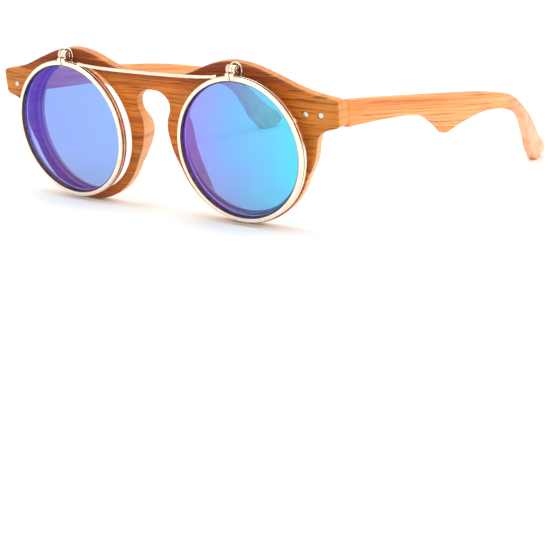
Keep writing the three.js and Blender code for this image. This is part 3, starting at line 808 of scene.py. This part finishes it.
def rivet_hole():
    """A countersunk hole for an endpiece rivet, from the front."""
    shaft = RIVET_SHAFT_HOLE_RADIUS
    head = RIVET_HEAD_HOLE_RADIUS
    return moved(turned([(0, -1), (head, -1), (head, 0.45), (shaft, 0.45), (shaft, 9), (0, 9)]),
                 Matrix.Translation((0, 0, RIVET_Z)))


def bracket_screw_hole():
    """The bracket's screw comes from the back, so the wide part of its hole is there."""
    shaft = BRACKET_SCREW_RADIUS + GAP
    head = BRACKET_SCREW_HEAD_RADIUS + GAP
    seat = BRACKET_SCREW_HEAD_Y - GAP
    return moved(turned([(0, -0.62), (shaft, -0.62), (shaft, seat), (head, seat), (head, 6), (0, 6)]),
                 Matrix.Translation((0, 0, FLANGE_Z)))


def leaf_pocket():
    half = FRONT_LEAF_HALF + GAP
    half_height = FRONT_LEAF_HALF_HEIGHT + GAP
    return block((-half, FRONT_THICKNESS - LEAF_SINK - GAP, RIVET_Z - half_height),
                 (half, FRONT_THICKNESS + 2, RIVET_Z + half_height), 0)


def front_body():
    endpiece = endpiece_block()
    pad = nose_pad()
    shells = [bent_plate(), mirrored(endpiece), mirrored(pad), endpiece, pad]
    skin = carved(laid_together(*shells), 0.32, 3, 0.35)
    cutters = []
    groove = OPENING_RADIUS + GROOVE_DEPTH
    groove_front = CLEAR_LENS_Y - GAP
    groove_back = CLEAR_LENS_Y + CLEAR_LENS_THICKNESS + GAP
    for side in (-1, 1):
        lens_groove = disc(groove, groove_front, groove_back, 0, CIRCLE_STEPS)
        cutters.append(on_front(lens_groove, side * EYE_S))
        cutters += [on_front(rivet_hole(), side * s) for s in RIVET_S]
        cutters.append(on_front(leaf_pocket(), side * FRONT_LEAF_S))
        cutters.append(on_front(bracket_screw_hole(), side * FLIP_X))
    return cut(skin, *cutters)


def domed(radius, front, thickness, rise):
    """A lens about the Y axis that bulges forward by rise at its middle."""
    steps = 14
    face = []
    for i in range(steps + 1):
        share = i / steps
        face.append((radius * share, front - rise * (1 - share ** 2)))
    back = [(r, y + thickness) for r, y in reversed(face)]
    return turned(face + back, CIRCLE_STEPS)


def clear_lens_body():
    radius = OPENING_RADIUS + GROOVE_DEPTH - GAP
    return on_front(domed(radius, CLEAR_LENS_Y, CLEAR_LENS_THICKNESS, 0.5), EYE_S)


# ---- temple hinges and rivets -----------------------------------------------------------------


def barrel_span(number):
    """The barrels are numbered 0 to 2 from the bottom; the middle one belongs to the temple."""
    middle = RIVET_Z + (number - 1) * (BARREL_HEIGHT + RUNNING_GAP)
    return middle - BARREL_HEIGHT / 2, middle + BARREL_HEIGHT / 2


def hinge_bore():
    reach = 2 * BARREL_HEIGHT + 1
    return rod("z", HINGE_BORE_RADIUS, RIVET_Z - reach, RIVET_Z + reach, HINGE_X, HINGE_Y, 0)


def front_leaf():
    y = FRONT_THICKNESS - LEAF_SINK
    flat = block((-FRONT_LEAF_HALF, y, RIVET_Z - FRONT_LEAF_HALF_HEIGHT),
                 (FRONT_LEAF_HALF, y + LEAF_THICKNESS, RIVET_Z + FRONT_LEAF_HALF_HEIGHT), 0.15)
    parts = []
    for number in (0, 2):
        bottom, top = barrel_span(number)
        parts.append(rod("z", BARREL_RADIUS, bottom, top, HINGE_X, HINGE_Y))
        parts.append(block((HINGE_X - 1.2, 6.8, bottom + 0.05), (HINGE_X + 1, HINGE_Y, top - 0.05)))
    holes = [on_front(rivet_hole(), s) for s in RIVET_S]
    return cut(joined(on_front(flat, FRONT_LEAF_S), *parts), hinge_bore(), *holes)


TEMPLE_INNER_X = TEMPLE_OUTER_X - TEMPLE_THICKNESS
TEMPLE_LEAF_X = TEMPLE_INNER_X + LEAF_SINK - LEAF_THICKNESS
TEMPLE_LEAF_OUTLINE = [(HINGE_Y + 1.9, 9.4), (HINGE_Y + 11, 8.2), (HINGE_Y + 11, 12.4),
                       (HINGE_Y + 1.9, 14.2)]


def splayed(bm):
    """Turns a temple piece in towards the tips, about the hinge axis."""
    hinge = Matrix.Translation((HINGE_X, HINGE_Y, 0))
    return moved(bm, hinge @ Matrix.Rotation(TEMPLE_SPLAY, 4, "Z") @ hinge.inverted())


def temple_leaf():
    bottom, top = barrel_span(1)
    flat = plate([softened(TEMPLE_LEAF_OUTLINE, 0.5)], TEMPLE_LEAF_X, TEMPLE_LEAF_X + LEAF_THICKNESS,
                 0.12)
    tab = block((HINGE_X, HINGE_Y + 0.2, bottom + 0.05),
                (TEMPLE_LEAF_X + 0.4, HINGE_Y + 2.8, top - 0.05))
    barrel = rod("z", BARREL_RADIUS, bottom, top, HINGE_X, HINGE_Y)
    return cut(joined(splayed(moved(flat, SIDEWAYS)), splayed(tab), barrel), hinge_bore())


def hinge_screw():
    bottom = barrel_span(0)[0] - 0.1
    top = barrel_span(2)[1] + GAP
    shaft = rod("z", HINGE_SCREW_RADIUS, bottom, top + 0.2, HINGE_X, HINGE_Y)
    head = rod("z", HINGE_SCREW_HEAD_RADIUS, top, top + 0.5, HINGE_X, HINGE_Y, 0.15)
    slot = block((HINGE_X - SCREW_SLOT_HALF, HINGE_Y - 2, top + 0.3),
                 (HINGE_X + SCREW_SLOT_HALF, HINGE_Y + 2, top + 1), 0)
    return cut(joined(shaft, head), slot)


def rivet(s):
    """A rivet with a low domed head, at s along the front."""
    back = FRONT_THICKNESS - LEAF_SINK + LEAF_THICKNESS + GAP
    head = RIVET_HEAD_RADIUS
    shaft = RIVET_SHAFT_RADIUS
    angles = [math.radians(degrees) for degrees in range(0, 91, 15)]
    dome = [(head * math.sin(angle), 0.05 - 0.25 * math.cos(angle)) for angle in angles]
    profile = dome + [(head, 0.3), (shaft, 0.3), (shaft, back), (0, back)]
    return on_front(moved(turned(profile), Matrix.Translation((0, 0, RIVET_Z))), s)


# ---- temples ----------------------------------------------------------------------------------

# Temple edge as (y, z) points: the top from the hinge to the tip, then back along the bottom to the
# pointed step where the temple narrows, then on to the hinge.
TEMPLE_TOP = [(SEAM_Y + RUNNING_GAP, 15.8), (28.9, 11.6), (58, 5.3), (84.8, -0.6), (101.5, -4.9),
              (115.5, -9.4), (124.5, -13.9), (137.5, -22.2), (149.5, -33.5), (155.5, -38.1)]
TEMPLE_TIP = [(155.5, -38.1), (158, -41.4), (156.7, -43.3), (151.7, -44.2), (147, -43.8),
              (144.5, -41.5)]
TEMPLE_REAR_UNDERSIDE = [(144.5, -41.5), (140.8, -37.7), (136.2, -29.5), (128.8, -20.8),
                         (112.5, -13.9), (94, -9.6), (77.5, -9), (66, -10)]
TEMPLE_FRONT_UNDERSIDE = [(66, -10), (61.3, -5.7), (54.5, -1.2), (47.5, 1), (38, 2.9),
                          (SEAM_Y + RUNNING_GAP, 7.4)]


def bowed(bm):
    """Bends a temple outwards over most of its length, and back in towards the tip."""
    spans = len(TEMPLE_BOW) - 1
    for vertex in bm.verts:
        share = min(max((vertex.co.y - BOW_FROM) / (BOW_TO - BOW_FROM), 0), 1)
        vertex.co.x += curve_at(TEMPLE_BOW, share * spans)
    return closed_up(bm)


def temple():
    outline = smooth_curve(TEMPLE_TOP, 90) + smooth_curve(TEMPLE_TIP, 40)[1:]
    outline += smooth_curve(TEMPLE_REAR_UNDERSIDE, 80)[1:]
    outline += smooth_curve(TEMPLE_FRONT_UNDERSIDE, 60)[1:]
    slab = moved(plate([outline[::-1]], TEMPLE_INNER_X, TEMPLE_OUTER_X, 0.6, 5), SIDEWAYS)
    for y in range(BOW_FROM, 158, SLICE_STEP):
        sliced_across(slab, (0, y, 0), (0, 1, 0))
    pocket = inset_loop(softened(TEMPLE_LEAF_OUTLINE, 0.5), -GAP)
    cutter = plate([pocket], TEMPLE_INNER_X - 2, TEMPLE_INNER_X + LEAF_SINK + GAP, 0)
    return cut(splayed(bowed(slab)), splayed(moved(cutter, SIDEWAYS)))


# ---- flip hinges ------------------------------------------------------------------------------


def pin_hole():
    return rod("x", FLIP_PIN_RADIUS + GAP, FLIP_X - 5, FLIP_X + 5, FLIP_Y, FLIP_Z, 0)


def bracket():
    """A dished flange on the brow with a shank that ends in the middle knuckle. The dish takes the
    second material, a painted dark reflection."""
    lip = FLANGE_RADIUS - 0.5
    floor = FLANGE_FRONT + 0.2
    dish = [(0, floor), (lip, floor), (lip + 0.1, FLANGE_FRONT), (FLANGE_RADIUS, FLANGE_FRONT),
            (FLANGE_RADIUS, -GAP), (0, -GAP)]
    flange = moved(turned(softened(dish, 0.08, closed=False)), Matrix.Translation((0, 0, FLANGE_Z)))
    shank = block((FLIP_X - KNUCKLE_HALF + 0.1, FLIP_Y, FLIP_Z - 0.9),
                  (FLIP_X + KNUCKLE_HALF - 0.1, bent(FLIP_X).y - 0.3, FLIP_Z + 0.9))
    knuckle = rod("x", KNUCKLE_RADIUS, FLIP_X - KNUCKLE_HALF, FLIP_X + KNUCKLE_HALF, FLIP_Y, FLIP_Z)
    body = joined(on_front(flange, FLIP_X), shank, knuckle)
    body = cut(body, pin_hole(), on_front(bracket_screw_hole(), FLIP_X))
    for face in body.faces:
        middle = face.calc_center_median()
        radius = math.hypot(middle.x - FLIP_X, middle.z - FLANGE_Z)
        in_dish = middle.y > bent(FLIP_X).y - 0.5 and radius < lip + 0.05
        face.material_index = int(in_dish)
    return body


def bracket_screw():
    shaft = BRACKET_SCREW_RADIUS
    head = BRACKET_SCREW_HEAD_RADIUS
    profile = [(0, BRACKET_SCREW_TIP_Y), (shaft, BRACKET_SCREW_TIP_Y), (shaft, BRACKET_SCREW_HEAD_Y),
               (head, BRACKET_SCREW_HEAD_Y), (head, 4.1), (0, 4.25)]
    screw = moved(turned(softened(profile, 0.06, closed=False)), Matrix.Translation((0, 0, FLANGE_Z)))
    return on_front(screw, FLIP_X)


def flip_pin():
    head = FLIP_X + EAR_OUTER + GAP
    shaft = rod("x", FLIP_PIN_RADIUS, FLIP_X - EAR_OUTER - 0.1, head + 0.1, FLIP_Y, FLIP_Z, 0.1)
    button = rod("x", FLIP_PIN_BUTTON_RADIUS, head, head + 0.25, FLIP_Y, FLIP_Z, 0.08)
    return joined(shaft, button)


# ---- sun lenses, rims and wire ----------------------------------------------------------------

CLOSING_SCREW_Y = -2.2
CLOSING_SCREW_Z = 23.4
CLOSING_SCREW_RADIUS = 0.3
WRAPPED = Matrix.Translation((SUN_X, 0, 0)) @ Matrix.Rotation(SUN_WRAP, 4, "Z")


def closing_screw_hole():
    return rod("x", CLOSING_SCREW_RADIUS + GAP, FLIP_X - 6, FLIP_X + EAR_OUTER - 0.1,
               CLOSING_SCREW_Y, CLOSING_SCREW_Z, 0)


def closing_screw():
    return rod("x", CLOSING_SCREW_RADIUS, FLIP_X - EAR_OUTER, FLIP_X + EAR_OUTER - 0.3,
               CLOSING_SCREW_Y, CLOSING_SCREW_Z, 0.06)


def ear_outline():
    """Outline of an ear and its lug in (y, z)."""
    ear = arc(FLIP_Y, FLIP_Z, KNUCKLE_RADIUS, math.radians(-40), math.radians(220), 40)
    lug = [ear[-1], (LUG_FRONT, LUG_TOP), (LUG_FRONT, LUG_BOTTOM), (-0.7, 22.7),
           (-0.7, LUG_TOP - 0.4), ear[0]]
    return ear + softened(lug, 0.25, closed=False)[1:-1]


def rim_profile():
    """A section of a rim as (radius, y) points: a narrow flat front between an inner slope down to
    the lens and a rounded shoulder, a seat for the lens inside and a groove outside."""
    middle = SUN_RIM_MIDDLE
    seat = SUN_LENS_THICKNESS / 2 + GAP
    inner = SUN_RIM_INNER
    seated = inner + GROOVE_DEPTH
    outer = SUN_RIM_OUTER
    floor = outer - RIM_GROOVE_DEPTH
    mouth = RIM_GROOVE_HALF_MOUTH
    narrow = RIM_GROOVE_HALF_FLOOR
    shell = [(inner, middle - seat), (inner, middle - seat - 0.1), (RIM_FACE_FROM, SUN_RIM_FRONT),
             (outer - 0.2, SUN_RIM_FRONT), (outer, SUN_RIM_FRONT + 0.35), (outer, middle - mouth),
             (floor, middle - narrow), (floor, middle + narrow), (outer, middle + mouth),
             (outer, SUN_RIM_BACK), (inner, SUN_RIM_BACK),
             (inner, middle + seat), (seated, middle + seat), (seated, middle - seat)]
    return softened(shell, 0.12)


def sun_rim():
    """A ring split at the top, where each end has a lug with an ear for the hinge pin. Its groove
    and inner slope take the second material: painted shade and reflection in the groove, and a
    painted dark reflection of the lens on the slope."""
    ring = moved(turned(rim_profile(), CIRCLE_STEPS, closed=True), WRAPPED)
    ears = plate([ear_outline()], FLIP_X - EAR_OUTER, FLIP_X + EAR_OUTER, 0.14, 3)
    slot = block((FLIP_X - EAR_INNER, FLIP_Y - 1.5, LUG_TOP - 0.6), (FLIP_X + EAR_INNER, 3, 30), 0)
    split = block((FLIP_X - RIM_SPLIT / 2, -5, 15), (FLIP_X + RIM_SPLIT / 2, 5, 30), 0)
    body = joined(ring, moved(ears, SIDEWAYS))
    body = cut(body, slot, split, pin_hole(), closing_screw_hole())
    unwrapped = WRAPPED.inverted()
    for face in body.faces:
        middle = unwrapped @ face.calc_center_median()
        radius = math.hypot(middle.x, middle.z)
        in_groove = abs(middle.y - SUN_RIM_MIDDLE) < 0.2 and radius > SUN_RIM_OUTER - 0.5
        on_slope = middle.y < SUN_RIM_MIDDLE and radius < RIM_FACE_FROM - 0.05
        face.material_index = int(on_slope or (in_groove and radius < SUN_RIM_OUTER - 0.02))
    return body


def sun_lens_body():
    """Its front faces take the coating, the first material, and the rest take the second."""
    radius = SUN_RIM_INNER + GROOVE_DEPTH - GAP
    lens = domed(radius, SUN_RIM_MIDDLE - SUN_LENS_THICKNESS / 2, SUN_LENS_THICKNESS, 0.6)
    for face in lens.faces:
        face.material_index = int(face.normal.y > -0.5)
    return moved(lens, WRAPPED)


def bridge_wire():
    """The wire that ties the two rims together, thicker where it is soldered to them."""
    sides = 24
    solder_thickness = 0.16
    solder_length = 1.6
    path = smooth_curve([(-WIRE_END, WIRE_END_Z), (-18, 21.9), (0, 21.65), (18, 21.9),
                         (WIRE_END, WIRE_END_Z)], 60)
    rings = []
    for x, z in path:
        from_end = WIRE_END - abs(x)
        solder = solder_thickness * math.exp(-(from_end / solder_length) ** 2)
        radius = (WIRE_RADIUS + solder) * min(1, 0.55 + from_end)
        section = arc(WIRE_Y, z, radius, 0, math.tau, sides)[:-1]
        rings.append([(x, y, height) for y, height in section])
    return swept(rings)


# ---- the pieces -------------------------------------------------------------------------------


def add(node, bm, slot, *materials):
    """Shows a finer body in place of a CAD node, on the node's own CAD body."""
    bm.transform(TO_WORLD)
    bmesh.ops.recalc_face_normals(bm, faces=bm.faces)
    piece = mesh_object(bm, f"{node}_piece")
    for material in materials:
        piece.data.materials.append(material)
    piece.data.shade_smooth()
    piece.data.set_sharp_from_angle(angle=math.radians(40))
    piece.modifiers.new("even_normals", "WEIGHTED_NORMAL").keep_sharp = True
    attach(piece, frame["nodes"][node]["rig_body"])
    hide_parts(node)


def add_pair(stem, bm, slot, *materials, ending=""):
    """Adds a body made on the wearer's left and its mirror image on the right."""
    other = mirrored(bm)
    add(f"{stem}_left{ending}", bm, slot, *materials)
    add(f"{stem}_right{ending}", other, slot, *materials)


add("frame_front", front_body(), "wood_front", WOOD_FRONT)
add_pair("clear_lens", clear_lens_body(), "clear_lens", CLEAR)
add_pair("front_hinge_leaf", front_leaf(), "steel", STEEL)
add_pair("temple_hinge_leaf", temple_leaf(), "steel", STEEL)
add_pair("hinge_screw", hinge_screw(), "steel", STEEL)
for place, s in zip(("_inner", "_outer"), RIVET_S):
    add_pair("endpiece_rivet", rivet(s), "steel", STEEL, ending=place)
add_pair("temple", temple(), "wood_temple", WOOD_TEMPLE)
add_pair("flip_bracket", bracket(), "gold", GOLD, RIM_PAINTED_SHADE_AND_REFLECTION)
add_pair("flip_bracket_screw", bracket_screw(), "steel", STEEL)
add_pair("flip_pin", flip_pin(), "steel", STEEL)
add_pair("flip_rim", sun_rim(), "gold", GOLD, RIM_PAINTED_SHADE_AND_REFLECTION)
add_pair("rim_closing_screw", closing_screw(), "steel", STEEL)
add("flip_bridge_wire", bridge_wire(), "gold", GOLD)
left_lens = sun_lens_body()
right_lens = mirrored(left_lens)
add("sun_lens_left", left_lens, "sun_lens", COATING["left"], LENS_BACK)
add("sun_lens_right", right_lens, "sun_lens", COATING["right"], LENS_BACK)

# ---- floor, light and camera ------------------------------------------------------------------

FLOOR_HALF = 4.0
floor_mesh = bpy.data.meshes.new("floor")
corners = [(-FLOOR_HALF, -FLOOR_HALF, 0), (FLOOR_HALF, -FLOOR_HALF, 0), (FLOOR_HALF, FLOOR_HALF, 0),
           (-FLOOR_HALF, FLOOR_HALF, 0)]
floor_mesh.from_pydata(corners, [], [(0, 1, 2, 3)])
floor_mesh.materials.append(floor_paint())
floor = bpy.data.objects.new("floor", floor_mesh)
bpy.context.scene.collection.objects.link(floor)

world = bpy.data.worlds.new("studio")
world.use_nodes = True
world.node_tree.nodes["Background"].inputs["Color"].default_value = (1, 1, 1, 1)
world.node_tree.nodes["Background"].inputs["Strength"].default_value = 1.1
bpy.context.scene.world = world


def softbox(name, place, aim, size, power):
    """A square area light; its places and size are in metres and its power in watts."""
    light = bpy.data.lights.new(name, "AREA")
    light.size = size
    light.energy = power
    obj = bpy.data.objects.new(name, light)
    obj.location = place
    obj.rotation_euler = (Vector(aim) - Vector(place)).to_track_quat("-Z", "Y").to_euler()
    bpy.context.scene.collection.objects.link(obj)


softbox("overhead", (-0.1, -0.1, 0.7), (0, -0.02, 0.02), 0.35, 1.2)
softbox("side", (0.8, -0.15, 0.35), (0, 0, 0.02), 0.5, 1.4)

# The camera looks down at the front from the wearer's left.
AZIMUTH = math.radians(34.64)
ELEVATION = math.radians(15.83)
ROLL = math.radians(-0.19)
DISTANCE = 0.4466
AIM = Vector((0.0386, -0.0661, -0.0181))

camera_data = bpy.data.cameras.new("camera")
camera_data.sensor_width = 36
camera_data.lens = 90.28
camera = bpy.data.objects.new("camera", camera_data)
turn = Matrix.Rotation(AZIMUTH, 4, "Z") @ Matrix.Rotation(math.pi / 2 - ELEVATION, 4, "X")
backwards = turn @ Vector((0, 0, 1))
camera.matrix_world = (Matrix.Translation(AIM + backwards * DISTANCE) @ turn
                       @ Matrix.Rotation(ROLL, 4, "Z"))
bpy.context.scene.collection.objects.link(camera)
bpy.context.scene.camera = camera
bpy.context.scene.view_settings.view_transform = "Standard"
